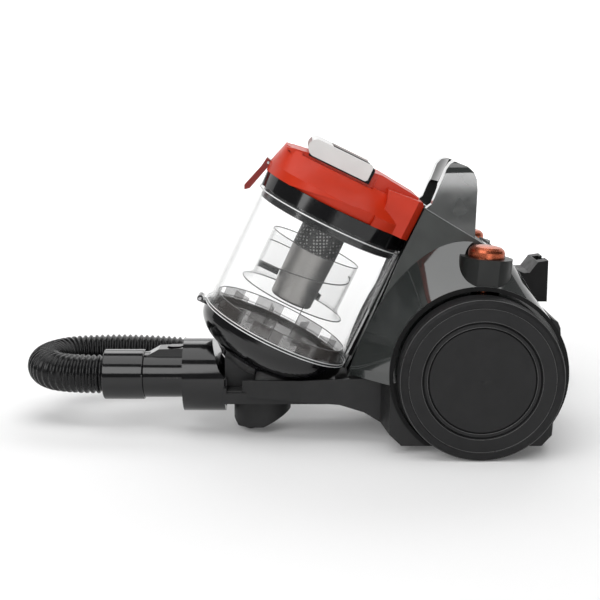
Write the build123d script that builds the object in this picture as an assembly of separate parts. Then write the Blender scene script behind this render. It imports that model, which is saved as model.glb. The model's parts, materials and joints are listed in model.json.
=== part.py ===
from build123d import *
import os
from math import cos, pi, radians, sin, tan

os.makedirs("parts", exist_ok=True)

# Canister vacuum cleaner, millimetres. +Z up, the hose end faces -X, the wheels turn about Y.
# The origin is on the floor, under the middle of the machine without its hose.

# Machine
front_x = -193.5  # face of the hose collar
rear_x = 193.5  # back of the exhaust cover
wall = 3.0  # moulded wall thickness
gap = 0.3  # between bodies that slide or turn past each other
deck_z = 70.0  # where the side shells stand on the chassis

# Wheels
wheel_x = 104.0
wheel_z = 80.5
wheel_r = 80.5
wheel_outer_y = 118.0
wheel_inner_y = 89.0
rim_r = 71.0  # outer edge of the disc, inside the tyre
cap_r = 52.0
axle_r = 6.0
well_r = 84.0  # wheel well in the body
well_y = 84.0  # floor of the wheel well
body_y = 92.0  # side of the body round the well
arch_r = 88.0
fit = 0.05  # radial clearance of a running fit

# Caster under the nose
caster_x = -111.5
caster_r = 12.5
caster_trail = 12.0
caster_skirt_r = 30.0

# Dust bin: its axis leans back from the vertical, and its own frame starts at the bottom rim
bin_tilt = 25.8
bin_x = -97.8
bin_z = 105.0
cup_r = 78.0
rim_out_r = 80.5
cup_wall = 2.4
cup_top = 135.0
lid_z = 150.0  # joint between the separator ring and the lid, along the axis
door_depth = 38.0
recess_r = 82.0  # hollow in the spine that the bin slides along
BIN = Location((bin_x, 0, bin_z), (0, bin_tilt, 0))

# Central body
spine_y = 49.7  # half width of the spine, the rear cover and the handle
button_x = 111.5
button_y = 68.0
button_tilt = 4.5
knob_r = 17.9
collar_sleeve_r = 21.0  # part of the collar that passes through the shell
collar_r = 26.0
collar_top = 194.0

# Motor and cord reel, both on one cross axis
bay_x = 100.0
bay_z = 88.0
motor_r = 50.0
reel_r = 60.0

# Hose
hose_z = 58.0
hose_r = 20.5
hose_bore_r = 17.5
cuff_r = 26.5
connector_r = 24.3
socket_r = 24.6
exit_x = -278.5
floor_route_z = 20.6


def slab(points, y0, y1):
    """A piece with its outline in the XZ plane, from y0 to y1."""
    face = make_face(Polyline(*points, close=True))
    return extrude(Plane.XZ.offset(-y1) * face, amount=y1 - y0)


def plan(points, z0, z1):
    """A piece with its outline in the XY plane, from z0 to z1."""
    face = make_face(Polyline(*points, close=True))
    return extrude(Plane.XY.offset(z0) * face, amount=z1 - z0)


def turned(points):
    """A body of revolution about Z, from its half outline as (radius, height)."""
    return revolve(Plane.XZ * make_face(Polyline(*points, close=True)), Axis.Z)


def disc(r, z0, z1, hole=0.0):
    """A round plate or tube about Z."""
    solid = Pos(0, 0, (z0 + z1) / 2) * Cylinder(r, z1 - z0)
    if hole:
        solid -= Pos(0, 0, (z0 + z1) / 2) * Cylinder(hole, z1 - z0 + 2)
    return solid


def disc_y(r, y0, y1, x, z, hole=0.0):
    """A round plate or tube about a cross axis at x and z."""
    return Location((x, y1, z), (90, 0, 0)) * disc(r, 0, y1 - y0, hole)


def disc_x(r, x0, x1, z, hole=0.0):
    """A round plate or tube about a fore and aft axis at height z."""
    return Location((x0, 0, z), (0, 90, 0)) * disc(r, 0, x1 - x0, hole)


def block(x0, x1, y0, y1, z0, z1):
    return Pos((x0 + x1) / 2, (y0 + y1) / 2, (z0 + z1) / 2) * Box(x1 - x0, y1 - y0, z1 - z0)


def on_side(shape, side):
    """Puts a shape made about Z, with Z as the way out, on the wheel axis of one side."""
    return Location((wheel_x, 0, wheel_z), (-90 * side, 0, 0)) * shape


def in_bin(t, s):
    """World x and z of a point in the bin's frame: t to the rear of its axis, s along it."""
    a = radians(bin_tilt)
    return (bin_x + t * cos(a) + s * sin(a), bin_z - t * sin(a) + s * cos(a))


def bin_cylinder(r, s0=-60.0, s1=420.0):
    """The space of a round column on the bin's axis."""
    return BIN * disc(r, s0, s1)


def round_rims(shape, over, r):
    """Rounds the circular edges of a shape whose radius is over a given size."""
    rims = shape.edges().filter_by(GeomType.CIRCLE)
    return fillet([e for e in rims if e.radius > over], r)


def save(shape, name):
    export_step(shape, f"parts/{name}.step")


# ---------------------------------------------------------------- body shells


def flank_outline(plane, scale, radius, pitch):
    """One section of a side shell: a curved top between a front foot and the rear corner."""
    mid_x, mid_z = 98.0, 112.0
    crest = [(-21, 76), (16.6, 155.5), (40, 181.8), (70.6, 202.4)]
    crest += [(96.4, 206.9), (137.4, 188.3), (162.6, 148.9), (186, 118)]
    if radius:
        turns = (178, 150, 130, 112, 95, 70, 45, 12)
        crest = [(wheel_x + radius * cos(radians(t)), wheel_z + radius * sin(radians(t))) for t in turns]
    points = [(mid_x + (x - mid_x) * scale, mid_z + (z - mid_z) * scale) for x, z in crest]
    low = deck_z + pitch
    top = Spline(*points)
    rest = Polyline(points[-1], (points[-1][0], low), (points[0][0], low), points[0])
    return plane * make_face(top + rest)


def flank(side, shrink, y_in, y_out, pitch):
    """The rounded volume of one side of the machine, from the spine out to the wheel arch."""
    inner = flank_outline(Plane.XZ.offset(-side * y_in), shrink, 0, pitch)
    outer = flank_outline(Plane.XZ.offset(-side * y_out), 1.0, arch_r - (1 - shrink) * 80, pitch)
    return loft([inner, outer])


def well(side, r, y_in):
    y_end = body_y + 8
    low, high = sorted((side * y_in, side * y_end))
    return disc_y(r, low, high, wheel_x, wheel_z)


def side_shell(side):
    """Glossy side cover with the upper half of the wheel well."""
    outside = flank(side, 1.0, 50.0, body_y, 0.2)
    hollow = flank(side, 0.965, 49.0, body_y - wall, -5.0) - well(side, well_r + wall, well_y - wall)
    shell = outside - hollow - well(side, well_r, well_y)
    shell -= bin_cylinder(recess_r)
    shell -= button_place(side) * disc(collar_sleeve_r + 0.05, -80, 40)
    hub = disc_y(axle_r + 6.0, *sorted((side * (well_y - wall - 1), side * (well_y + 1))), wheel_x, wheel_z)
    return shell - hub


def button_place(side):
    """Frame of a button: its origin is the middle of the collar's top face."""
    return Location((button_x, side * button_y, collar_top), (0, button_tilt, 0))


def button_collar(side):
    """Raised ring round a button, standing on the side shell, with a sleeve that passes through it."""
    ring = button_place(side) * disc(collar_r, -46, 0)
    ring -= flank(side, 1.0, 50.0, body_y, 0.2)
    ring += button_place(side) * disc(collar_sleeve_r, -17, 0)
    ring -= button_place(side) * (disc(knob_r + gap + 0.2, -14, 1) + disc(7.0, -60, 1))
    low, high = sorted((side * 50.0, side * (body_y - 0.1)))
    return max((ring & block(60, 160, low, high, 100, 220)).solids(), key=lambda s: s.volume)


def button_knob(side):
    """Round press button with a stem that reaches down to its switch or brake."""
    cap = [(0, -6), (knob_r, -6), (knob_r, 5.5), (knob_r - 1.2, 8.2), (knob_r - 4.0, 10.2)]
    cap += [(knob_r - 9.0, 11.2), (0, 11.6)]
    return button_place(side) * (turned(cap) + disc(5.0, -44, -6))


def button_spring(side):
    return button_place(side) * disc(11.5, -13.9, -6.1, 8.5)


def spine_cover():
    """Matte centre column behind the bin, hollow, with a round recess for the bin."""
    front = [in_bin(83.2, -2), in_bin(81.0, 62), in_bin(76.5, 132), in_bin(76.5, 186)]
    top_rear = (102.7, 209.6)
    outline = front + [top_rear, (118, 200), (118, deck_z + 0.2), (-20, deck_z + 0.2)]
    outside = slab(outline, -spine_y, spine_y) - bin_cylinder(recess_r)
    inner = [in_bin(70, 0), in_bin(70, 160), (60, 229), (100, 205), (114, 196), (114, 60), (-40, 60)]
    hollow = slab(inner, -spine_y + wall, spine_y - wall) - bin_cylinder(recess_r + wall)
    bay = slab([(-12, 60), (35, 172), (60, 190), (130, 190), (130, 60)], -60, 60)
    bay -= bin_cylinder(recess_r + wall)
    spine = outside - hollow - bay
    groove = BIN * block(70, 91, -9.5, 9.5, -60, 400)
    ports = BIN * (block(70, 95, 14, 40, 104, 122) + block(70, 95, -40, -14, 138, 147))
    column = spine - groove - ports
    return max(column.solids(), key=lambda s: s.volume)


def rear_cover():
    """Cover over the motor bay, behind the spine, with the tool bracket's slot."""
    line = [(118.2, 200), (137.4, 188.3), (150, 172), (162.6, 148.9), (172, 138), (183, 126)]
    inner = [(x - 2.4, z - 2.4) for x, z in reversed(line[1:])] + [(118.2, 196.2)]
    top = slab(line + inner, -spine_y, spine_y)
    back = block(180.6, 183.4, -spine_y, spine_y, deck_z + 0.2, 123.4)
    window = block(178, 186, -40, 40, 80, 116)
    return top + back - window


def tunnel(half_width, top, r):
    """A long space along X with two rounded upper corners."""
    outline = Pos(0, top - 75) * RectangleRounded(2 * half_width, 150, r)
    return extrude(Plane.YZ * outline, amount=200)


def carry_handle():
    """Fixed arch over the spine: two side legs and a crossbar with a rounded top."""
    front = [(53.3, 239.6), (59, 244), (67.5, 265), (73, 278.5), (77, 283.6), (82, 285.6)]
    rear = [(94, 281), (100, 275.5), (103, 268.5), (104, 258), (102.7, 209.8)]
    arch = slab(front + rear, -spine_y, spine_y) & tunnel(spine_y, 286.5, 12.0)
    under = [(30, 236), (61, 259), (65, 264), (106, 252), (125, 240), (125, 190), (60, 228)]
    opening = slab(under, -37, 37) & tunnel(37, 262, 8.0)
    groove = BIN * block(70, 87.4, -8, 8, 100, 400)
    return arch - opening - bin_cylinder(84.5) - groove


def arch_trim(side):
    """Dark trim round the mouth of a wheel well, cut off under the machine."""
    low, high = sorted((side * (body_y + 0.1), side * (body_y + 2.4)))
    ring = disc_y(arch_r, low, high, wheel_x, wheel_z, well_r)
    return ring - block(0, 220, low - 1, high + 1, -20, 9)


# ---------------------------------------------------------------- chassis


def chassis_outline(inset):
    """Side outline of the tray; inset moves the walls in and opens the top."""
    top = 20.0 if inset else 0.0
    floor = [(-31.5, 41.6 + inset), (-7, 34 + inset), (17.4, 19 + inset), (29 + inset, 8 + inset)]
    rear = [(168, 8 + inset), (184 - inset, 26), (184 - inset, deck_z + top)]
    lip = [(23, deck_z + top), (-47.8, 67.5 + top), (-118.7, 64.1 + top), (-149.7 + inset, 61 + top)]
    return [(-149.7 + inset, 45.4 + inset), (-80, 45.4 + inset)] + floor + rear + lip


def chassis_plan(inset):
    half = [(-149.7 + inset, 36), (-122, 50), (-70, 62), (10, 62), (17, body_y)]
    half += [(178, body_y), (184 - inset, 70)]
    upper = [(x, y - inset) for x, y in half]
    return upper + [(x, -y) for x, y in reversed(upper)]


def chassis_base():
    """Tray that carries everything: side rails beside the bin, wells and axle bosses at the rear."""
    outside = slab(chassis_outline(0), -100, 100) & plan(chassis_plan(0), -5, 120)
    inside = slab(chassis_outline(wall), -100, 100) & plan(chassis_plan(wall), -5, 120)
    belly = block(-149.7, -24, -48, 48, 38.5, 50)
    trough = block(-146.7, -21, -45.6, 45.6, 41.5, 80)
    lintel = block(-149.7, -146.8, -48, 48, 45, 55)
    tray = outside + belly - trough
    for side in (-1, 1):
        inside -= well(side, well_r + wall, well_y - wall)
    tray -= inside
    for side in (-1, 1):
        tray -= well(side, well_r, well_y)
        tray -= disc_y(axle_r + 6.0, *sorted((side * 60, side * 100)), wheel_x, wheel_z)
    socket = Pos(caster_x, 0, 0) * disc(10.0, 30.5, 41.5, 5.0 + fit)
    tray -= Pos(caster_x, 0, 0) * disc(5.0 + fit, 30, 41)
    tray += lintel
    tray -= block(-152, -146, -44.9, 44.9, 41.6, 51.9)
    return tray + socket + cradle_rib()


def cradle_rib():
    """Rib on the tray, between the collar and the bin's round underside."""
    top = [(-149.5, 83), (-145, 81), (-136, 73), (-127, 66.5), (-119, 64.0)]
    rib = slab([(-149.5, 52)] + top + [(-119, 52)], -26, 26)
    return rib - slab([(-147, 40), (-147, 76), (-138, 68), (-131, 62), (-116, 56), (-116, 40)], -23, 23)


def axle_stub(side):
    """Steel stub axle, with a flange inside the body."""
    shaft = disc(axle_r, 74.0, 112.0) + disc(axle_r + 5.8, 74.0, well_y + 0.8)
    return on_side(shaft, side)


def caster_fork():
    """Round swivel housing with a slanted skirt, which holds the caster wheel."""
    skirt = disc(caster_skirt_r, 6.8, 37.5, caster_skirt_r - 2.4)
    slant = [(-40, -5), (-40, 14), (-31, 14), (-25, 6.8), (2, 8), (18, 16), (31, 23), (40, 23), (40, -5)]
    skirt -= slab(slant, -40, 40)
    plate = disc(caster_skirt_r - 2.2, 27.0, 30.0) + disc(5.0, 28.0, 40.5)
    cheek = slab([(-19, 8), (-5, 8), (-3, 27.5), (-21, 27.5)], 9.0, 12.0)
    cheeks = cheek + mirror(cheek, Plane.XZ)
    bore = disc_y(2.0, -13, 13, -caster_trail, caster_r)
    return Pos(caster_x, 0, 0) * (skirt + plate + cheeks - bore)


def caster_wheel():
    x = caster_x - caster_trail
    return round_rims(disc_y(caster_r, -8.0, 8.0, x, caster_r, 2.0 + fit), 5.0, 2.0)


def caster_pin():
    return disc_y(2.0, -12.0, 12.0, caster_x - caster_trail, caster_r)


# ---------------------------------------------------------------- wheels


def wheel_disc(side):
    """Disc with a dished face, a ring groove and a hub, open at the back."""
    face, back = wheel_outer_y - 1.0, wheel_inner_y
    profile = [(axle_r + fit, back), (14, back), (14, face - 6), (40, face - 6)]
    profile += [(rim_r - 5, face - 5), (rim_r - 5, back)]
    outer = [(rim_r, back), (rim_r, face), (58.5, face - 0.3), (57.2, face - 1.8), (55.9, face - 0.5)]
    middle = [(cap_r + 0.9, face - 0.6), (cap_r, face - 1.9), (cap_r - 0.9, face - 0.8), (30, face - 1.4)]
    boss = [(0, face - 1.8), (0, face - 4.6), (axle_r + fit, face - 4.6)]
    return on_side(turned(profile + outer + middle + boss), side)


def wheel_tyre(side):
    """Soft tread ring on the rim."""
    out, back = wheel_outer_y, wheel_inner_y
    profile = [(rim_r, back), (wheel_r - 3, back), (wheel_r - 0.8, back + 1), (wheel_r, back + 4)]
    profile += [(wheel_r, out - 5), (wheel_r - 1.2, out - 1.6), (wheel_r - 4, out)]
    profile += [(rim_r + 1.2, out), (rim_r, out - 1.2)]
    return on_side(turned(profile), side)


# ---------------------------------------------------------------- collar, hose and its parts


def inlet_collar():
    """Ring at the nose that takes the hose connector; its back is cut on a slant."""
    ring = disc_x(38.3, front_x, -149.7, hose_z, 33.5) + disc_x(34.5, front_x + 3, -160, hose_z, socket_r)
    ring += disc_x(34.5, -160, -156.5, hose_z)
    back = [(-163.5, 120), (-163.5, 96), (-155.9, 72), (-149.7, 62), (-140, 62), (-140, 120)]
    mouth = block(-162, -150, -30, 30, 43, 50.5)
    return ring - slab(back, -60, 60) - mouth


def hose_connector():
    """Tube that plugs into the collar, with a raised latch housing on top."""
    tube = disc_x(connector_r, -235.3, -162, hose_z, 18.5)
    housing = slab([(-234.8, 79), (-220, 87.4), (-194, 88.6), (-194, 70), (-234.8, 70)], -11, 11)
    housing -= disc_x(connector_r - 2, -240, -180, hose_z)
    housing -= block(-211.4, -194.6, -6.4, 6.4, 82.4, 100)
    return tube + housing


def connector_button():
    """Oval release button on the connector's latch housing."""
    pad = SlotOverall(16, 12)
    return Pos(-203, 0, 85.1) * extrude(pad, amount=4.3)


def hose_cuff():
    """Sleeve between the connector and the hose."""
    return round_rims(disc_x(cuff_r, exit_x, -235.5, hose_z, hose_bore_r), 25.0, 1.5)


def hose_route():
    """Middle line of the hose, from its cuff round the nose and along the far side of the machine."""
    return [
        (exit_x, 0, hose_z),
        (-320.7, 0, hose_z),
        (-350, 29.3, hose_z),
        (-350, 70.7, hose_z),
        (-320.7, 100, hose_z),
        (-240, 106, 57),
        (-150, 117, 45),
        (-70, 134, 25),
        (10, 150, floor_route_z),
        (100, 153, floor_route_z),
        (188, 157, floor_route_z),
        (235, 204, floor_route_z),
        (236, 268, floor_route_z),
        (189, 315, floor_route_z),
        (124, 321, floor_route_z),
        (72, 319, floor_route_z),
        (42, 346, floor_route_z),
        (41, 387, floor_route_z),
        (70, 416, floor_route_z),
        (126, 421, floor_route_z),
        (212, 418, floor_route_z),
    ]


def hose_radii(points):
    """Bend radius at each inner point of a route, as large as its two runs allow."""
    radii = []
    for before, here, after in zip(points, points[1:], points[2:]):
        way_in = Vector(*here) - Vector(*before)
        way_out = Vector(*after) - Vector(*here)
        turn = radians(way_in.get_angle(way_out))
        radii.append(0.45 * min(way_in.length, way_out.length) / tan(turn / 2))
    return radii


def hose():
    """The ribbed hose as one plain tube."""
    points = hose_route()
    radii = hose_radii(points)
    path = FilletPolyline(*points, radius=radii)
    section = Plane(origin=points[0], z_dir=(-1, 0, 0))
    solid = sweep(section * Circle(hose_r), path=path) - sweep(section * Circle(hose_bore_r), path=path)
    area = pi * (hose_r**2 - hose_bore_r**2)
    print("hose bend radii", [round(r) for r in radii])
    print("hose length", round(path.length))
    print("hose volume over section times length", round(solid.volume / area / path.length, 4))
    return solid


def wand_cuff():
    """Tapered cuff at the free end of the hose, which takes the wand."""
    points = hose_route()
    end, before = Vector(*points[-1]), Vector(*points[-2])
    place = Plane(origin=end, z_dir=end - before)
    profile = [(17.0, 0), (20.4, 0), (20.4, 46), (19.4, 62), (16.0, 62), (16.0, 20), (17.0, 12)]
    return place.location * turned(profile)


# ---------------------------------------------------------------- ducts, motor and reel


def inlet_duct():
    """Flat duct under the bin, from the collar to the riser."""
    low_rear, low_front = in_bin(100, -5), in_bin(86.4, -5)
    outer = [(-149.4, 41.8), (-20, 41.8), low_rear, low_front, (-34, 51.6), (-149.4, 51.6)]
    inner = [(-151, 43.4), (-21, 43.4), in_bin(98.2, -4), in_bin(88, -4), (-33, 50), (-151, 50)]
    return slab(outer, -44.6, 44.6) - slab(inner, -43, 43)


def riser(y0, y1, top, port_low, port_high):
    """Upright duct behind the bin's recess, with a port near its top."""
    tube = block(86.4, 100, y0, y1, -4.8, top) - block(88, 98.4, y0 + 1.6, y1 - 1.6, -6, top - 1.6)
    port = block(84, 90, y0 + 6, y1 - 9, port_low, port_high)
    return BIN * (tube - port)


def inlet_gasket():
    """Rubber frame between the riser's port and the bin's wall."""
    ring = BIN * (block(80, 86.2, 14.5, 39.5, 104.5, 121.5) - block(78, 88, 17, 37, 107, 119))
    return ring - bin_cylinder(recess_r)


def motor_housing():
    """Steel can of the suction motor, open at the intake."""
    can = disc_y(motor_r, -72.5, -6, bay_x, bay_z) - disc_y(motor_r - 1.5, -71, -4, bay_x, bay_z)
    return can - disc_y(9.0, -80, -69, bay_x, bay_z)


def motor_stator():
    """Laminated stack with its windings, and the bracket that carries the shaft's bearing."""
    core = disc_y(motor_r - 8, -58, -30, bay_x, bay_z, 23.0)
    core += disc_y(36, -66, -58, bay_x, bay_z, 26.0) + disc_y(36, -30, -22, bay_x, bay_z, 26.0)
    return Compound(children=[core, motor_bracket()])


def motor_rotor():
    """Shaft, armature and fan as they turn together."""
    parts = disc_y(4.0, -70.5, -9, bay_x, bay_z) + disc_y(22.0, -60, -28, bay_x, bay_z)
    parts += disc_y(44.0, -17, -15.5, bay_x, bay_z)
    for k in range(9):
        blade = Location((bay_x, -14.0, bay_z), (0, 40 * k, 0)) * Pos(26, 0, 0) * Box(34, 4.4, 1.4)
        parts += blade
    return parts


def motor_bracket():
    """Three-armed end bracket inside the can."""
    plate = disc_y(motor_r - 1.6, -20.5, -18.5, bay_x, bay_z, 28.0)
    spider = disc_y(10.0, -20.5, -18.5, bay_x, bay_z)
    for k in range(3):
        spider += Location((bay_x, -19.5, bay_z), (0, 120 * k, 0)) * Pos(18, 0, 0) * Box(26, 2, 8)
    return plate + spider - disc_y(4.0 + fit, -25, -10, bay_x, bay_z)


def motor_mount(y0, y1):
    return disc_y(motor_r + 5, y0, y1, bay_x, bay_z, motor_r + 0.02)


def motor_cradle():
    """Two saddles that hold the motor's rubber rings over the tray's floor."""
    saddles = block(58, 142, -68, -58, 11.2, 64) + block(58, 142, -20, -10, 11.2, 64)
    return saddles - disc_y(motor_r + 5.1, -80, 0, bay_x, bay_z)


def reel_drum():
    """Spool for the mains cord, between two flanges."""
    drum = disc_y(28, 22, 58, bay_x, bay_z)
    drum += disc_y(reel_r, 20, 22, bay_x, bay_z) + disc_y(reel_r, 58, 60, bay_x, bay_z)
    drum -= disc_y(24, 40, 61, bay_x, bay_z)
    return drum - disc_y(5.0 + fit, 10, 70, bay_x, bay_z)


def reel_frame():
    """Plate and pin that carry the cord reel, with a foot on the tray's floor."""
    plate = disc_y(34, 63, 66, bay_x, bay_z) + block(bay_x - 22, bay_x + 22, 63, 66, 11.2, bay_z)
    return plate + disc_y(5.0, 18, 65, bay_x, bay_z) + block(bay_x - 22, bay_x + 22, 56, 66, 11.2, 14.2)


def reel_spring():
    """Flat spiral return spring, coiled inside the drum."""
    turns = disc_y(20, 44, 57, bay_x, bay_z, 18.6) + disc_y(16, 44, 57, bay_x, bay_z, 14.6)
    turns += disc_y(12, 44, 57, bay_x, bay_z, 10.6)
    return turns + block(bay_x + 10.7, bay_x + 19.0, 44, 57, bay_z - 0.5, bay_z + 0.5)


def cord_grommet():
    """Ring in the rear cover where the mains cord comes out."""
    return disc_x(9, 180.4, 186.0, 98, 4.5)


# ---------------------------------------------------------------- rear


def rear_bracket():
    """Socket at the back that parks the floor tool: an upright plate with an open slot."""
    outline = [(152.5, 173), (157.5, 171), (163.4, 171.4), (171.5, 182.4)]
    outline += [(182, 184), (182, 141.4), (172, 141.4)]
    plate = slab(outline, -26, 26)
    slot = block(172.5, 179.0, -12, 12, 130, 200) + block(176, 190, -7, 7, 130, 200)
    under = [(118, 200.2), (137.4, 188.5), (150, 172.2), (162.6, 149.1), (172, 138.2), (150, 100), (100, 150)]
    return max((plate - slot - slab(under, -60, 60)).solids(), key=lambda s: s.volume)


def exhaust_cover():
    """Bowed grille over the exhaust filter."""
    bow = [(183.6, 74), (188, 74), (192, 84), (rear_x, 98)]
    bow += [(rear_x, 108), (192.6, 118), (190, 124), (184.6, 127)]
    inner = [(183, 76.5), (187, 76.5), (190, 88), (191, 98), (191, 108), (190, 116), (187, 122), (183, 122)]
    shell = slab(bow, -46, 46) - slab(inner, -43.5, 43.5)
    for k in range(7):
        shell -= block(180, 200, -36, 36, 80.5 + 5.4 * k, 83.2 + 5.4 * k)
    return shell - disc_x(9.7, 180, 200, 98)


def exhaust_filter():
    return block(168, 180.3, -38, 38, 78, 117) - disc_x(9.6, 160, 190, 98)


# ---------------------------------------------------------------- dust bin


def bin_cup():
    """Clear cup with a rim at each end, hinge lugs in front and a latch rail behind."""
    inner = cup_r - cup_wall
    profile = [(inner, 0.1), (rim_out_r, 0.1), (rim_out_r, 3.4), (cup_r, 4.6), (cup_r, 130.5)]
    profile += [(rim_out_r, 131.6), (rim_out_r, cup_top), (inner, cup_top)]
    cup = turned(profile)
    lug = block(-89, -80.4, 9.0, 12.5, -3.5, 6) + block(-89, -77.5, 9.0, 12.5, 0.1, 6)
    cup += lug + mirror(lug, Plane.XZ)
    rail = block(76.6, 78.9, -8.5, 8.5, 8, 64)
    cup += rail
    cup -= block(60, 90, 17, 37, 107, 119)
    cup -= Location((-86, 13, -0.8), (90, 0, 0)) * disc(1.5, 0, 26)
    return BIN * cup


def door_pin():
    return BIN * (Location((-86, 12.5, -0.8), (90, 0, 0)) * disc(1.5, 0, 25))


def separator_ring():
    """Dark band between the cup and the lid, with the separator plate inside the cup."""
    inner = cup_r - cup_wall - 0.4
    outer = rim_out_r - 0.5
    profile = [(inner, 124), (inner, cup_top + 0.1), (outer, cup_top + 0.1), (outer, lid_z - 0.2)]
    ring = turned(profile + [(73, lid_z - 0.2), (73, 138), (22, 131), (22, 124)])
    ring -= Pos(68, 27, 124) * Box(30, 24, 12)
    return BIN * ring


def screen_upper():
    """Black collar of the filter screen."""
    return BIN * turned([(22.5, 94.1), (24, 94.1), (24, 123.9), (22.5, 123.9)])


def screen_lower():
    """Metal part of the filter screen, closed at its foot."""
    return BIN * turned([(0, 37), (21, 37), (22.6, 39), (24, 94), (22.5, 94), (21.2, 40.5), (0, 38.5)])


def shroud():
    """Clear inner sleeve with a flared skirt round the screen."""
    sleeve = [(47.4, 99), (49, 99), (49, 50), (50.5, 46)]
    ring = turned(sleeve + [(57, 41.5), (56.4, 40.2), (49.2, 44.5), (47.4, 49)])
    for k in range(3):
        rib = Location((0, 0, 0), (0, 0, 120 * k + 60)) * block(23.9, 47.6, -0.8, 0.8, 55, 62)
        ring += rib
    ring -= disc(24.05, 30, 110)
    return BIN * ring


def door_shell():
    """Domed bottom door with a hinge knuckle in front."""
    steps = 30
    outer, inner = [], []
    for k in range(steps + 1):
        turn = radians(90 * k / steps)
        outer.append((79.6 * sin(turn), -4.5 - door_depth * cos(turn)))
        inner.append((77.0 * sin(turn), -4.5 - (door_depth - 2.6) * cos(turn)))
    dome = turned(outer + [(79.6, -0.3), (76.6, -0.3)] + inner[::-1])
    knuckle = Location((-86, 8.7, -0.8), (90, 0, 0)) * disc(3.2, 0, 17.4)
    arm = block(-86, -77, -8.7, 8.7, -3.9, -0.9)
    bore = Location((-86, 10, -0.8), (90, 0, 0)) * disc(1.5 + fit, 0, 20)
    catch = block(77, 83.2, -5, 5, -3.4, -0.6)
    return BIN * (dome + knuckle + arm + catch - bore)


def door_fins():
    """Smoky floor of the door with upright fins, which stop the dust from swirling."""
    count = 9
    step = 360 / count
    notch = block(66, 80, -9.5, 9.5, 2.5, 30)
    notches = [Rot(0, 0, step * k) * notch for k in range(count)]
    radial = block(50, 72, -0.8, 0.8, -1.5, 13.5)
    radials = [Rot(0, 0, step * (k + 0.5)) * radial for k in range(count)]
    floor = disc(76.4, -4.2, -1.4)
    return BIN * ((disc(73.5, -1.5, 15, 71.0) - notches) + radials + floor)


def door_seal():
    return BIN * disc(75.2, -1.3, 2.6, 73.7)


def door_latch():
    """Black slider on the back of the cup that frees the door."""
    bar = block(79.3, 82.6, -7, 7, 12, 60) + block(82.5, 86.0, -6, 6, 40, 56)
    hook = block(83.7, 86.4, -5, 5, -1.2, 14) + block(82.5, 86.4, -5, 5, 12, 20)
    return BIN * (bar + hook)


# ---------------------------------------------------------------- lid and handle


def lid_solid(inset):
    """Outer volume of the lid: a round foot that rises to a narrow, sloping top."""
    r = 81.6 - inset
    low = lid_z + (0 if inset == 0 else -1)
    foot = disc(r, low, 160)
    base = Plane.XY.offset(160) * Circle(r)
    outline = RectangleRounded(2 * (72.5 - inset), 2 * (44 - inset), 30 - inset)
    crown = Plane.XY.offset(182.5 - inset) * (Pos(-2, 0) * outline)
    body = foot + loft([base, crown])
    top = [(-73 + inset, 181 - inset), (-66, 183 - inset), (25, 197 - inset), (68, 193 - inset)]
    body += slab(top + [(70, 175), (-60, 175)], -38 + inset, 38 - inset)
    return body


def lid_shell():
    """Red lid, hollow, with square shoulders at the rear and a recess for each arm of the handle."""
    front = [(28, 150), (33.5, 153), (37, 158), (39, 164), (39.5, 171), (38.5, 178), (35, 188)]
    shoulder = slab(front + [(72, 191), (75, 188), (75, 150)], -58, 58)
    solid = lid_solid(0) + (shoulder & disc(89, 140, 200))
    solid -= block(75, 100, -90, 90, 140, 210)
    hollow = lid_solid(2.6) & block(-100, 72.4, -90, 90, 140, 190)
    solid -= hollow - disc(90, 140, 164, 75.4)
    undercut = slab([(-60, 149), (-20, 156.5), (33, 163.5), (33, 148), (-60, 148)], -95, 95)
    solid -= undercut - turned([(0, 140), (77.2, 140), (77.2, 150), (81.0, 164), (0, 164)])
    for side in (-1, 1):
        low, high = sorted((side * 36.6, side * 60))
        solid -= block(-56, 22, low, high, 180.5, 210)
    solid -= block(-90, -78, -9, 9, 149, 176)
    return BIN * solid


def lid_floor():
    """Black tray under the lid, which holds the filter over the separator."""
    tray = disc(72.4, 139.0, 141.4, 30) + disc(72.4, 141.3, 152, 70.4)
    return BIN * tray


def lid_seal():
    ring = disc(75.2, lid_z - 0.1, lid_z + 2.4, 72.9)
    return BIN * (ring & block(-100, 72.2, -100, 100, lid_z - 1, lid_z + 4))


def premotor_filter():
    return BIN * disc(69.8, 141.6, 158)


def lid_latch():
    """Red tab in front that holds the lid down."""
    side = [(-86, 161.5), (-80, 160), (-80.6, 154), (-88.6, 125), (-93, 121.5), (-95, 126), (-87.5, 151)]
    tab = slab(side, -8, 8)
    return BIN * (tab - (Location((-82.6, 10, 157), (90, 0, 0)) * disc(1.3 + fit, 0, 20)))


def lid_latch_pin():
    return BIN * (Location((-82.6, 8.9, 157), (90, 0, 0)) * disc(1.3, 0, 17.8))


def bin_handle():
    """Silver bail that lies on the lid: two arms and a front bar."""
    arm = [(-45.5, 184.6), (11.5, 184.6), (13.5, 186.6), (13.5, 199.6), (11.5, 201.8), (-45.5, 201.8)]
    front = Location((-45.5, 43.6, 193.2), (90, 0, 0)) * disc(8.6, 0, 87.2)
    bail = slab(arm, -43.6, 43.6) + front
    hollow = block(-31, 40, -38.8, 38.8, 170, 220) + block(-60, 0, -38.8, 38.8, 180, 198)
    bore = Location((5.0, 42.6, 193.2), (90, 0, 0)) * disc(3.0 + fit, 0, 85.2)
    return BIN * (bail - hollow - bore)


def handle_pin(side):
    """Pin from the lid's side wall into an arm of the handle."""
    low, high = sorted((side * 36.6, side * 42.4))
    return BIN * (Location((5.0, high, 193.2), (90, 0, 0)) * disc(3.0, 0, high - low))


# ---------------------------------------------------------------- fasteners


def screws():
    """Screws under the tray that hold the motor cradle and the covers."""
    group = []
    for x, y in ((66, -67), (134, -67), (66, -15), (134, -15), (84, 61), (116, 61)):
        group.append(Pos(x, y, 0) * (disc(3.2, 6.4, 7.9) + disc(1.4, 7.9, 7.95)))
    return Compound(children=group)


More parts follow.
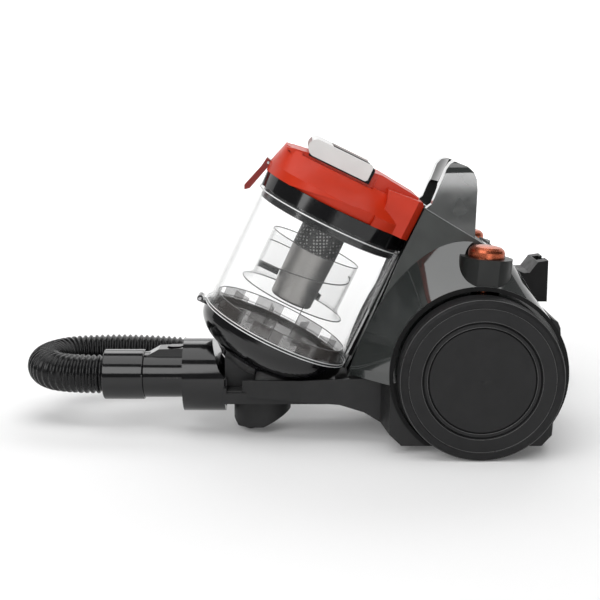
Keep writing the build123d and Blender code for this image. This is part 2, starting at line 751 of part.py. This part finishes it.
def pair(maker):
    """The two mirrored pieces of one kind, left and right, as one group."""
    return Compound(children=[maker(side) for side in (-1, 1)])


def main():
    for name, side in (("left", -1), ("right", 1)):
        save(side_shell(side), f"side_shell_{name}")
        save(wheel_disc(side), f"wheel_{name}")
        save(wheel_tyre(side), f"tyre_{name}")
    for name, side in (("power", -1), ("rewind", 1)):
        save(button_knob(side), f"{name}_button")
        save(button_spring(side), f"{name}_spring")
    save(pair(button_collar), "button_collars")
    save(pair(arch_trim), "arch_trims")
    save(pair(axle_stub), "axle_stubs")
    save(Compound(children=[handle_pin(-1), handle_pin(1), lid_latch_pin()]), "lid_pins")
    save(Compound(children=[motor_mount(-68, -58), motor_mount(-20, -10)]), "motor_mounts")
    save(riser(11, 46, 130, 107, 119), "dirty_air_riser")
    save(riser(-46, -11, 152, 138, 147), "clean_air_duct")
    makers = (
        chassis_base, spine_cover, rear_cover, carry_handle, rear_bracket, exhaust_cover,
        exhaust_filter, caster_fork, caster_wheel, caster_pin, inlet_collar, hose_connector,
        connector_button, hose_cuff, hose, wand_cuff, inlet_duct, inlet_gasket, motor_housing,
        motor_stator, motor_rotor, motor_cradle, reel_drum, reel_frame, reel_spring,
        cord_grommet, bin_cup, door_pin, separator_ring, screen_upper, screen_lower,
        shroud, door_shell, door_fins, door_seal, door_latch, lid_shell, lid_floor,
        lid_seal, premotor_filter, lid_latch, bin_handle, screws,
    )
    for maker in makers:
        save(maker(), maker.__name__)


main()
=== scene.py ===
import bpy
import bmesh
import json
import math
from mathutils import Matrix, Vector


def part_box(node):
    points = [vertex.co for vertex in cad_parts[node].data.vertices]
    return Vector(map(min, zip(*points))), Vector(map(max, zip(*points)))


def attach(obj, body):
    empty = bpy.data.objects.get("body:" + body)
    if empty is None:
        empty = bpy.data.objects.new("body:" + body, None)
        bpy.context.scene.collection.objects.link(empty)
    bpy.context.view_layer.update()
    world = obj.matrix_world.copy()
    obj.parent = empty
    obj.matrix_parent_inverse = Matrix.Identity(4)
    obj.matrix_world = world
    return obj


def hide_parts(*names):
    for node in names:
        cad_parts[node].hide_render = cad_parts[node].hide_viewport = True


# A canister vacuum cleaner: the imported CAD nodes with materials, and finer pieces over some of them.
# Metres, +Z up, the hose end faces -X, the camera looks from -Y.

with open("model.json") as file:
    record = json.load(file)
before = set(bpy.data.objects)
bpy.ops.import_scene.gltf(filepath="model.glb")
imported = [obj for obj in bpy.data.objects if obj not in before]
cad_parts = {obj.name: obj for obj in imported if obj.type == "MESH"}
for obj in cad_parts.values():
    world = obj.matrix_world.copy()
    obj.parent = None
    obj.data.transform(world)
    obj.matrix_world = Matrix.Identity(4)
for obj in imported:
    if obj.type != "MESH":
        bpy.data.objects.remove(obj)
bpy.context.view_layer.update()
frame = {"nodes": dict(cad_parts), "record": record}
nodes = frame["nodes"]
scene = bpy.context.scene

# The dust bin's own frame: its axis is Z, and its origin is in the middle of the bottom rim.
TILT = math.radians(25.8)
BIN = Matrix.Translation((-0.0978, 0, 0.105)) @ Matrix.Rotation(TILT, 4, "Y")
SIDES = ((-1, "left"), (1, "right"))


# ---------------------------------------------------------------- camera

VIEW_DOWN = math.radians(10.7)
camera_data = bpy.data.cameras.new("camera")
camera_data.lens = 69.0
camera_data.sensor_width = 36.0
camera = bpy.data.objects.new("camera", camera_data)
camera.location = (-0.0715, -1.1865, 0.3623)
look = Vector((0, math.cos(VIEW_DOWN), -math.sin(VIEW_DOWN)))
camera.rotation_euler = look.to_track_quat("-Z", "Y").to_euler()
scene.collection.objects.link(camera)
scene.camera = camera


# ---------------------------------------------------------------- materials


def principled(name):
    material = bpy.data.materials.new(name)
    material.use_nodes = True
    tree = material.node_tree
    return material, tree, tree.nodes["Principled BSDF"]


def noise(tree, scale, detail=3.0, stretch=None):
    """Noise in the object's own space, with scale in features per metre."""
    where = tree.nodes.new("ShaderNodeTexCoord")
    texture = tree.nodes.new("ShaderNodeTexNoise")
    texture.inputs["Scale"].default_value = scale
    texture.inputs["Detail"].default_value = detail
    if stretch:
        mapping = tree.nodes.new("ShaderNodeMapping")
        mapping.inputs["Scale"].default_value = stretch
        tree.links.new(where.outputs["Object"], mapping.inputs["Vector"])
        tree.links.new(mapping.outputs["Vector"], texture.inputs["Vector"])
    else:
        tree.links.new(where.outputs["Object"], texture.inputs["Vector"])
    return texture.outputs["Fac"]


def spread(tree, value, low, high):
    """Maps a noise value to the range low to high."""
    node = tree.nodes.new("ShaderNodeMapRange")
    node.inputs["From Min"].default_value = 0.3
    node.inputs["From Max"].default_value = 0.7
    node.inputs["To Min"].default_value = low
    node.inputs["To Max"].default_value = high
    tree.links.new(value, node.inputs["Value"])
    return node.outputs["Result"]


def tint(tree, value, dark, light):
    """A colour that goes from dark to light with a noise value."""
    ramp = tree.nodes.new("ShaderNodeValToRGB")
    ramp.color_ramp.elements[0].position = 0.3
    ramp.color_ramp.elements[0].color = (*dark, 1)
    ramp.color_ramp.elements[1].position = 0.7
    ramp.color_ramp.elements[1].color = (*light, 1)
    tree.links.new(value, ramp.inputs["Fac"])
    return ramp.outputs["Color"]


def bump(tree, shader, value, strength, depth):
    node = tree.nodes.new("ShaderNodeBump")
    node.inputs["Strength"].default_value = strength
    node.inputs["Distance"].default_value = depth
    tree.links.new(value, node.inputs["Height"])
    tree.links.new(node.outputs["Normal"], shader.inputs["Normal"])
    return node


def shade(color, factor):
    return tuple(min(1.0, c * factor) for c in color)


def plastic(name, color, low, high, grain=2500, strength=0.08, depth=0.0001, vary=0.12, coat=0.0, gloss=0.5):
    """Moulded plastic. Its roughness runs from low to high over fine handling marks.

    The grain is in bumps per metre, vary is how far the colour drifts, and gloss is the specular level.
    """
    material, tree, shader = principled(name)
    colour = tint(tree, noise(tree, 45, 2), shade(color, 1 - vary), shade(color, 1 + vary))
    tree.links.new(colour, shader.inputs["Base Color"])
    tree.links.new(spread(tree, noise(tree, 120, 5), low, high), shader.inputs["Roughness"])
    shader.inputs["Specular IOR Level"].default_value = gloss
    shader.inputs["Coat Weight"].default_value = coat
    shader.inputs["Coat Roughness"].default_value = 0.06
    bump(tree, shader, noise(tree, grain, 4), strength, depth)
    return material


def clear(name, color, middle, edge, roughness, coat=0.0):
    """Clear plastic: see-through where it is looked at squarely, denser at its rounded sides."""
    material, tree, shader = principled(name)
    facing = tree.nodes.new("ShaderNodeLayerWeight")
    facing.inputs["Blend"].default_value = 0.5
    ramp = tree.nodes.new("ShaderNodeMapRange")
    ramp.interpolation_type = "SMOOTHSTEP"
    ramp.inputs["From Min"].default_value = 0.55
    ramp.inputs["From Max"].default_value = 0.97
    ramp.inputs["To Min"].default_value = middle
    ramp.inputs["To Max"].default_value = edge
    tree.links.new(facing.outputs["Facing"], ramp.inputs["Value"])
    tree.links.new(ramp.outputs["Result"], shader.inputs["Alpha"])
    shader.inputs["Base Color"].default_value = (*color, 1)
    shader.inputs["Roughness"].default_value = roughness
    shader.inputs["IOR"].default_value = 1.49
    shader.inputs["Coat Weight"].default_value = coat
    shader.inputs["Coat Roughness"].default_value = 0.03
    bump(tree, shader, noise(tree, 35, 1), 0.02, 0.0003)
    return material


def metal(name, color, low, high, stretch=(1, 1, 1), scale=400, strength=0.1):
    material, tree, shader = principled(name)
    grain = noise(tree, scale, 5, stretch)
    tree.links.new(tint(tree, grain, shade(color, 0.75), shade(color, 1.15)), shader.inputs["Base Color"])
    tree.links.new(spread(tree, grain, low, high), shader.inputs["Roughness"])
    shader.inputs["Metallic"].default_value = 1.0
    bump(tree, shader, grain, strength, 0.0002)
    return material


def perforated(name, color, hole, pitch, low, high, metallic):
    """A screen with fine round holes, painted as dark dots with a bump at their edges."""
    material, tree, shader = principled(name)
    where = tree.nodes.new("ShaderNodeTexCoord")
    cells = tree.nodes.new("ShaderNodeTexVoronoi")
    cells.inputs["Scale"].default_value = 1 / pitch
    cells.inputs["Randomness"].default_value = 0.15
    tree.links.new(where.outputs["Object"], cells.inputs["Vector"])
    ramp = tree.nodes.new("ShaderNodeValToRGB")
    ramp.color_ramp.elements[0].position = 0.26
    ramp.color_ramp.elements[0].color = (*hole, 1)
    ramp.color_ramp.elements[1].position = 0.34
    ramp.color_ramp.elements[1].color = (*color, 1)
    tree.links.new(cells.outputs["Distance"], ramp.inputs["Fac"])
    tree.links.new(ramp.outputs["Color"], shader.inputs["Base Color"])
    tree.links.new(spread(tree, noise(tree, 300, 4), low, high), shader.inputs["Roughness"])
    shader.inputs["Metallic"].default_value = metallic
    bump(tree, shader, cells.outputs["Distance"], 0.25, 0.0003)
    return material


MATERIALS = {
    "body_gloss": plastic("body_gloss", (0.026, 0.029, 0.028), 0.07, 0.13, 90, 0.02, 0.0004, 0.06, 1.0),
    "body_matte": plastic("body_matte", (0.015, 0.015, 0.0155), 0.42, 0.55, 2600, 0.18, gloss=0.32),
    "spine_matte": plastic("spine_matte", (0.038, 0.042, 0.040), 0.38, 0.5, 2600, 0.10, gloss=0.4),
    "wheel_plastic": plastic("wheel_plastic", (0.011, 0.011, 0.0115), 0.36, 0.5, 2200, 0.14, gloss=0.25),
    "tyre_rubber": plastic("tyre_rubber", (0.010, 0.010, 0.0105), 0.5, 0.7, 1500, 0.25, gloss=0.25),
    "trim_black": plastic("trim_black", (0.004, 0.004, 0.0042), 0.32, 0.45, 2400, 0.10, gloss=0.15),
    "lid_red": plastic("lid_red", (0.50, 0.027, 0.006), 0.34, 0.44, 2200, 0.06, 0.0001, 0.05, 0.05, 0.25),
    "latch_red": plastic("latch_red", (0.20, 0.016, 0.012), 0.14, 0.22, 900, 0.05, 0.0001, 0.1, 0.4),
    "handle_silver": plastic("handle_silver", (0.60, 0.60, 0.59), 0.30, 0.38, 3000, 0.05, 0.0001, 0.03, 0.2),
    "knob_copper": metal("knob_copper", (0.50, 0.13, 0.065), 0.24, 0.32, (1, 1, 1), 900, 0.03),
    "clear_plastic": clear("clear_plastic", (0.42, 0.43, 0.43), 0.05, 0.42, 0.03, 1.0),
    "smoky_plastic": clear("smoky_plastic", (0.060, 0.046, 0.040), 0.30, 0.66, 0.10, 0.3),
    "door_black": plastic("door_black", (0.0035, 0.0035, 0.004), 0.09, 0.15, 300, 0.02, 0.0002, 0.1,
                          0.2, 0.45),
    "screen_metal": metal("screen_metal", (0.42, 0.405, 0.39), 0.34, 0.5, (1, 1, 1), 700, 0.15),
    "hose_plastic": plastic("hose_plastic", (0.004, 0.004, 0.0045), 0.22, 0.32, 1500, 0.06, gloss=0.3),
    "duct_plastic": plastic("duct_plastic", (0.03, 0.03, 0.03), 0.4, 0.55, 1800, 0.1),
    "seal_rubber": plastic("seal_rubber", (0.008, 0.008, 0.008), 0.5, 0.65, 1800, 0.15, gloss=0.3),
    "steel": metal("steel", (0.55, 0.55, 0.56), 0.25, 0.4),
    "motor_steel": metal("motor_steel", (0.42, 0.43, 0.44), 0.3, 0.45, (1, 12, 1)),
    "filter_foam": plastic("filter_foam", (0.6, 0.6, 0.57), 0.8, 0.95, 1200, 0.6, 0.0006),
}

for part in frame["record"]["subparts"]:
    piece = nodes[part["node"]]
    piece.data.materials.clear()
    piece.data.materials.append(MATERIALS[part["material_slot"]])

nodes["button_collars"].data.materials[0] = plastic(
    "collar_black", (0.008, 0.009, 0.0085), 0.3, 0.4, 2400, 0.08, gloss=0.3)
nodes["screen_upper"].data.materials[0] = perforated(
    "screen_dots", (0.016, 0.016, 0.016), (0.34, 0.34, 0.33), 0.0034, 0.4, 0.55, 0.0)

# Looks of the fine lines and bumps laid over the nodes.
ACCENTS = {
    # Pale grey: paints the highlights on the edges of the wheel rings and on the grip bumps.
    "painted_edge_highlight": plastic("painted_edge_highlight", (0.055, 0.055, 0.055), 0.25, 0.35, 1200, 0.05),
    # Dark grey: paints the shade that shows along the edges of the clear parts.
    "painted_clear_edge_shade": plastic("painted_clear_edge_shade", (0.085, 0.082, 0.08), 0.15, 0.25, 1200, 0.05),
    # Near-white: paints the highlights that the cup's rims catch.
    "painted_rim_highlight": plastic("painted_rim_highlight", (0.80, 0.81, 0.81), 0.12, 0.2, 1200, 0.05, coat=0.5),
    # Pale grey: paints the highlight along the joint of the carry handle and the spine.
    "painted_joint_highlight": plastic("painted_joint_highlight", (0.22, 0.23, 0.23), 0.2, 0.3, 1200, 0.05),
}


# ---------------------------------------------------------------- mesh helpers


def add(name, mesh, slot, body, smooth=True, accent=None):
    """Puts a mesh in the scene on a body, in its slot's material or in an accent."""
    piece = bpy.data.objects.new(name, mesh)
    scene.collection.objects.link(piece)
    mesh.materials.append(ACCENTS[accent] if accent else MATERIALS[slot])
    if smooth:
        mesh.shade_smooth()
    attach(piece, body)
    return piece


def mesh_of(name, verts, faces):
    mesh = bpy.data.meshes.new(name)
    mesh.from_pydata([tuple(v) for v in verts], [], faces)
    mesh.update()
    return mesh


# ---------------------------------------------------------------- hose

HOSE_R = 0.0205
PITCH = 0.0062
FLOOR_Z = 0.0206
route = [
    (-0.2785, 0, 0.058), (-0.3207, 0, 0.058), (-0.350, 0.0293, 0.058), (-0.350, 0.0707, 0.058),
    (-0.3207, 0.100, 0.058), (-0.240, 0.106, 0.057), (-0.150, 0.117, 0.045), (-0.070, 0.134, 0.025),
    (0.010, 0.150, FLOOR_Z), (0.100, 0.153, FLOOR_Z), (0.188, 0.157, FLOOR_Z), (0.235, 0.204, FLOOR_Z),
    (0.236, 0.268, FLOOR_Z), (0.189, 0.315, FLOOR_Z), (0.124, 0.321, FLOOR_Z), (0.072, 0.319, FLOOR_Z),
    (0.042, 0.346, FLOOR_Z), (0.041, 0.387, FLOOR_Z), (0.070, 0.416, FLOOR_Z), (0.126, 0.421, FLOOR_Z),
    (0.212, 0.418, FLOOR_Z),
]


def smooth_line(points):
    """Points along the smooth curve that has these control points."""
    curve = bpy.data.curves.new("hose_line", "CURVE")
    curve.dimensions = "3D"
    curve.resolution_u = 24
    spline = curve.splines.new("NURBS")
    spline.points.add(len(points) - 1)
    for target, point in zip(spline.points, points):
        target.co = (*point, 1)
    spline.order_u = 3
    spline.use_endpoint_u = True
    holder = bpy.data.objects.new("hose_line", curve)
    scene.collection.objects.link(holder)
    bpy.context.view_layer.update()
    line = bpy.data.meshes.new_from_object(holder)
    found = [v.co.copy() for v in line.vertices]
    bpy.data.objects.remove(holder)
    bpy.data.meshes.remove(line)
    return found


def even_points(points, step):
    """The same line with points a fixed step apart."""
    out = [points[0].copy()]
    left = step
    for a, b in zip(points, points[1:]):
        run = (b - a).length
        while run > 1e-9 and left <= run:
            out.append(a + (b - a) * (left / run))
            left += step
        left -= run
    return out


def ribbed_tube(name, points, radius_at, sides):
    """A tube round a line, whose radius is a function of the distance along it."""
    verts, faces = [], []
    heading = (points[1] - points[0]).normalized()
    up = Vector((0, 0, 1))
    up = (up - heading * up.dot(heading)).normalized()
    gone = 0.0
    for i, here in enumerate(points):
        ahead = points[min(i + 1, len(points) - 1)] - points[max(i - 1, 0)]
        heading = ahead.normalized()
        up = (up - heading * up.dot(heading)).normalized()
        across = heading.cross(up)
        if i:
            gone += (here - points[i - 1]).length
        r = radius_at(gone)
        for k in range(sides):
            turn = 2 * math.pi * k / sides
            verts.append(here + (up * math.cos(turn) + across * math.sin(turn)) * r)
        if i:
            a, b = (i - 1) * sides, i * sides
            for k in range(sides):
                n = (k + 1) % sides
                faces.append((a + k, a + n, b + n, b + k))
    faces.append(tuple(range(sides))[::-1])
    last = (len(points) - 1) * sides
    faces.append(tuple(last + k for k in range(sides)))
    return mesh_of(name, verts, faces)


def rib(distance):
    wave = math.cos(2 * math.pi * distance / PITCH)
    return HOSE_R - 0.0011 + 0.0011 * math.tanh(2.0 * wave) / math.tanh(2.0)


hose_path = even_points(smooth_line(route), PITCH / 8)
hose = add("hose_ribs", ribbed_tube("hose_ribs", hose_path, rib, 40), "hose_plastic", "machine")
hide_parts("hose")


# ---------------------------------------------------------------- shapes of the small pieces over the CAD


def bar_faces(stations):
    """Faces of a bar that has four corners at each station along it, with both ends closed."""
    faces = []
    for a in range(0, 4 * (stations - 1), 4):
        b = a + 4
        faces += [(a, b, b + 2, a + 2), (a + 1, a + 3, b + 3, b + 1)]
        faces += [(a, a + 1, b + 1, b), (a + 2, b + 2, b + 3, a + 3)]
    last = 4 * (stations - 1)
    return faces + [(0, 2, 3, 1), (last, last + 1, last + 3, last + 2)]


def ring_about(name, centre, axis, radius, thick, sides=128, across=10):
    """A fine raised ring: a torus round an axis."""
    axis = Vector(axis).normalized()
    one = axis.orthogonal().normalized()
    two = axis.cross(one)
    verts, faces = [], []
    for i in range(sides):
        a = 2 * math.pi * i / sides
        out = one * math.cos(a) + two * math.sin(a)
        for k in range(across):
            b = 2 * math.pi * k / across
            verts.append(Vector(centre) + out * (radius + thick * math.cos(b)) + axis * thick * math.sin(b))
    for i in range(sides):
        n = (i + 1) % sides
        for k in range(across):
            m = (k + 1) % across
            faces.append((i * across + k, n * across + k, n * across + m, i * across + m))
    return mesh_of(name, verts, faces)


def prism(name, outline, y0, y1, place=None, bevel=0.0, segments=3):
    """A piece with its outline in the XZ plane, from y0 to y1, with rounded edges."""
    mesh = bpy.data.meshes.new(name)
    work = bmesh.new()
    ends = []
    for y in (y0, y1):
        ends.append([work.verts.new((x, y, z)) for x, z in outline])
    work.faces.new(ends[0])
    work.faces.new(ends[1][::-1])
    n = len(outline)
    for i in range(n):
        k = (i + 1) % n
        work.faces.new((ends[0][k], ends[0][i], ends[1][i], ends[1][k]))
    bmesh.ops.recalc_face_normals(work, faces=work.faces)
    if bevel:
        bmesh.ops.bevel(
            work, geom=work.edges[:], offset=bevel, segments=segments, profile=0.6, affect="EDGES")
    if place:
        work.transform(place)
    work.to_mesh(mesh)
    work.free()
    return mesh


def arc(x, z, r, start, end, steps):
    """Points of an arc in the XZ plane, in degrees."""
    turns = [math.radians(start + (end - start) * k / steps) for k in range(steps + 1)]
    return [(x + r * math.cos(t), z + r * math.sin(t)) for t in turns]


# ---------------------------------------------------------------- wheels

WHEEL_LINES = {"rim": (0.0712, 0.0001), "groove": (0.0586, -0.0004), "cap": (0.0531, -0.0008)}
WHEEL_LINE_THICK = 0.00035
TYRE_LINE_R = 0.0792
TYRE_LINE_DEPTH = 0.0016

# The rings on the wheels and tyres are pale lines that paint the highlights along their edges.
for side, word in SIDES:
    low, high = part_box("wheel_" + word)
    axle_x, axle_z = (low.x + high.x) / 2, (low.z + high.z) / 2
    face = (low.y if side < 0 else high.y)
    for label, (radius, proud) in WHEEL_LINES.items():
        centre = (axle_x, face + side * proud, axle_z)
        name = label + "_line_" + word
        mesh = ring_about(name, centre, (0, 1, 0), radius, WHEEL_LINE_THICK)
        add(name, mesh, "wheel_plastic", word + "_wheel", accent="painted_edge_highlight")
    low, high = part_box("tyre_" + word)
    face = (low.y if side < 0 else high.y) - side * TYRE_LINE_DEPTH
    name = "tyre_line_" + word
    mesh = ring_about(name, (axle_x, face, axle_z), (0, 1, 0), TYRE_LINE_R, 0.0004)
    add(name, mesh, "tyre_rubber", word + "_wheel", accent="painted_edge_highlight")


# ---------------------------------------------------------------- dust bin

CUP_RIM_R = 0.0803
SLEEVE_INNER = (0.0466, 0.0473)  # inner face of the clear sleeve, where the ramp's edge lies
CUP_INNER = (0.0748, 0.0756)  # inner face of the cup, where its moulded seams lie


def bin_ring(name, radius, height, thick, accent, slot, body="dust_bin"):
    """A fine line round the bin's axis, at a height above its bottom rim."""
    mesh = ring_about(name, (0, 0, height), (0, 0, 1), radius, thick)
    mesh.transform(BIN)
    add(name, mesh, slot, body, accent=accent)


# Near-white rings at the cup's bottom and top rims: painted highlights.
bin_ring("rim_line_low", CUP_RIM_R, 0.0034, 0.00045, "painted_rim_highlight", "clear_plastic")
bin_ring("rim_line_foot", CUP_RIM_R, 0.0006, 0.00045, "painted_rim_highlight", "clear_plastic")
bin_ring("rim_line_top", CUP_RIM_R, 0.1318, 0.0006, "painted_rim_highlight", "clear_plastic")
# Dark grey rings at the sleeve's and the fins' edges: painted shade where these clear edges show.
bin_ring("sleeve_line_top", 0.0483, 0.0990, 0.0005, "painted_clear_edge_shade", "clear_plastic")
bin_ring("sleeve_line_foot", 0.0566, 0.0411, 0.0006, "painted_clear_edge_shade", "clear_plastic")
bin_ring("fin_line", 0.0723, 0.0151, 0.0005, "painted_clear_edge_shade", "smoky_plastic", "bin_door")


def ramp_edge(name, start, end, low, high, thick):
    """The edge of the sleeve's spiral ramp, which climbs from low to high over its turn in degrees; its dark
    grey is painted shade.
    """
    steps = 60
    verts = []
    for k in range(steps + 1):
        turn = math.radians(start + (end - start) * k / steps)
        height = low + (high - low) * k / steps
        for radius in SLEEVE_INNER:
            for z in (height, height + thick):
                verts.append((radius * math.cos(turn), radius * math.sin(turn), z))
    mesh = mesh_of(name, verts, bar_faces(steps + 1))
    mesh.transform(BIN)
    add(name, mesh, "clear_plastic", "dust_bin", smooth=False, accent="painted_clear_edge_shade")


ramp_edge("swirl_edge", 175, 375, 0.0598, 0.0838, 0.0012)
ramp_edge("swirl_back", 110, 170, 0.0800, 0.0840, 0.0010)


# ---------------------------------------------------------------- hose connector

DOT_COUNT = 5
DOT_STEP = 0.0033
DOT_R = 0.00075
FIRST_DOT = (-0.2128, -0.0244, 0.0600)


def grip_dot(index):
    """One of the row of small flattened bumps on the side of the hose connector."""
    x, y, z = FIRST_DOT
    place = Matrix.Translation((x + DOT_STEP * index, y, z)) @ Matrix.Rotation(math.radians(90), 4, "X")
    work = bmesh.new()
    bmesh.ops.create_uvsphere(work, u_segments=16, v_segments=10, radius=DOT_R)
    work.transform(place @ Matrix.Diagonal((1.0, 1.0, 0.6, 1.0)))
    mesh = bpy.data.meshes.new("grip_dot_%d" % (index + 1))
    work.to_mesh(mesh)
    work.free()
    # The bump's pale colour is a painted highlight.
    add(mesh.name, mesh, "door_black", "machine", accent="painted_edge_highlight")


for k in range(DOT_COUNT):
    grip_dot(k)


# ---------------------------------------------------------------- seams and joint lines


def cup_seam(name, angle, low, high):
    """A fine moulded line up the inside of the cup, dark grey as painted shade."""
    place = BIN @ Matrix.Rotation(math.radians(angle), 4, "Z")
    inner, outer = CUP_INNER
    outline = [(inner, low), (outer, low), (outer, high), (inner, high)]
    mesh = prism(name, outline, -0.0004, 0.0004, place, 0.0002, 2)
    add(name, mesh, "clear_plastic", "dust_bin", smooth=False, accent="painted_clear_edge_shade")


cup_seam("cup_seam_left", -96, 0.004, 0.026)
cup_seam("cup_seam_right", -83, 0.018, 0.052)


def side_line(name, points, y, width, slot):
    """A fine raised line on a side face, through points in the XZ plane."""
    verts = []
    for i, (x, z) in enumerate(points):
        a = Vector(points[max(i - 1, 0)])
        b = Vector(points[min(i + 1, len(points) - 1)])
        run = (b - a).normalized()
        off = Vector((-run.y, run.x)) * width / 2
        for sign in (-1, 1):
            for depth in (0.0002, -0.0003):
                verts.append((x + sign * off.x, y + math.copysign(depth, y), z + sign * off.y))
    mesh = mesh_of(name, verts, bar_faces(len(points)))
    add(name, mesh, slot, "machine", smooth=False, accent="painted_joint_highlight")


# Pale line along the joint where the carry handle meets the spine: a painted highlight on the joint's edge.
SPINE_SIDE_Y = 0.0497
handle_joint = [(0.0540, 0.2392), (0.0784, 0.2244), (0.1022, 0.2101)]
for side, word in SIDES:
    side_line("spine_line_" + word, handle_joint, side * SPINE_SIDE_Y, 0.0007, "spine_matte")

# Black sheet on the inner side of the recess in the lid that each arm of the silver handle lies in: painted
# shade for the shadow gap under the arm.
well = [(-0.050, 0.1830), (0.0165, 0.1830)] + arc(0.0135, 0.1965, 0.0035, -10, 90, 5) + [(-0.050, 0.2000)]
for side, word in SIDES:
    name = "handle_gap_shade_" + word
    y0, y1 = sorted((side * 0.0372, side * 0.03855))
    add(name, prism(name, well, y0, y1, BIN, 0.0003, 2), "trim_black", "lid", smooth=False)


# ---------------------------------------------------------------- stage and light

scene.view_settings.view_transform = "Standard"


def sweep_floor():
    """Floor that curves up into the backdrop."""
    line = [(-7.0, 0.0), (1.6, 0.0)]
    for k in range(1, 13):
        a = math.radians(90 * k / 12)
        line.append((1.6 + 0.9 * math.sin(a), 0.9 - 0.9 * math.cos(a)))
    line.append((2.5, 3.2))
    verts, faces = [], []
    for x in (-6.0, 6.0):
        verts += [(x, y, z) for y, z in line]
    n = len(line)
    for i in range(n - 1):
        faces.append((i, i + n, i + n + 1, i + 1))
    return mesh_of("studio_sweep", verts, faces)


def along_y(tree, y0, y1, low, high):
    """A value that goes from low to high between two places on the floor, from front to back."""
    where = tree.nodes.new("ShaderNodeTexCoord")
    parts = tree.nodes.new("ShaderNodeSeparateXYZ")
    scale = tree.nodes.new("ShaderNodeMapRange")
    scale.interpolation_type = "SMOOTHSTEP"
    scale.inputs["From Min"].default_value = y0
    scale.inputs["From Max"].default_value = y1
    scale.inputs["To Min"].default_value = low
    scale.inputs["To Max"].default_value = high
    tree.links.new(where.outputs["Object"], parts.inputs["Vector"])
    tree.links.new(parts.outputs["Y"], scale.inputs["Value"])
    return scale.outputs["Result"]


floor_material, floor_tree, floor_shader = principled("studio_paper")
# The floor's colour is darker towards the front, painted shade that cuts its bounce light, and it glows more
# towards the back, painted light that keeps the backdrop bright.
floor_tree.links.new(along_y(floor_tree, -2.2, -0.5, 0.66, 0.84), floor_shader.inputs["Base Color"])
floor_tree.links.new(along_y(floor_tree, -0.2, 2.2, 0.08, 0.60), floor_shader.inputs["Emission Strength"])
floor_shader.inputs["Roughness"].default_value = 0.8
floor_shader.inputs["Specular IOR Level"].default_value = 0.1
floor_shader.inputs["Emission Color"].default_value = (1, 1, 1, 1)
bump(floor_tree, floor_shader, noise(floor_tree, 500, 3), 0.04, 0.0002)
floor_mesh = sweep_floor()
floor_mesh.shade_smooth()
floor_mesh.materials.append(floor_material)
floor = bpy.data.objects.new("studio_sweep", floor_mesh)
scene.collection.objects.link(floor)

world = bpy.data.worlds.new("studio_world")
scene.world = world
world.use_nodes = True
world.node_tree.nodes["Background"].inputs["Color"].default_value = (1, 1, 1, 1)
world.node_tree.nodes["Background"].inputs["Strength"].default_value = 0.14


def softbox(name, place, target, width, height, power):
    data = bpy.data.lights.new(name, "AREA")
    data.shape = "RECTANGLE"
    data.size = width
    data.size_y = height
    data.energy = power
    light = bpy.data.objects.new(name, data)
    light.location = place
    aim = Vector(target) - Vector(place)
    light.rotation_euler = aim.to_track_quat("-Z", "Y").to_euler()
    scene.collection.objects.link(light)
    return light


softbox("top_box", (-0.1, -0.3, 1.7), (0, 0, 0.1), 2.2, 1.3, 19)
softbox("left_box", (-0.95, -1.60, 1.20), (0.06, -0.06, 0.17), 1.75, 1.1, 21)
softbox("back_box", (0.2, 1.4, 1.6), (0, 0, 0.1), 2.0, 0.8, 12)
softbox("low_card", (0.42, -1.95, 0.20), (0.12, -0.05, 0.26), 0.9, 0.22, 3.9)
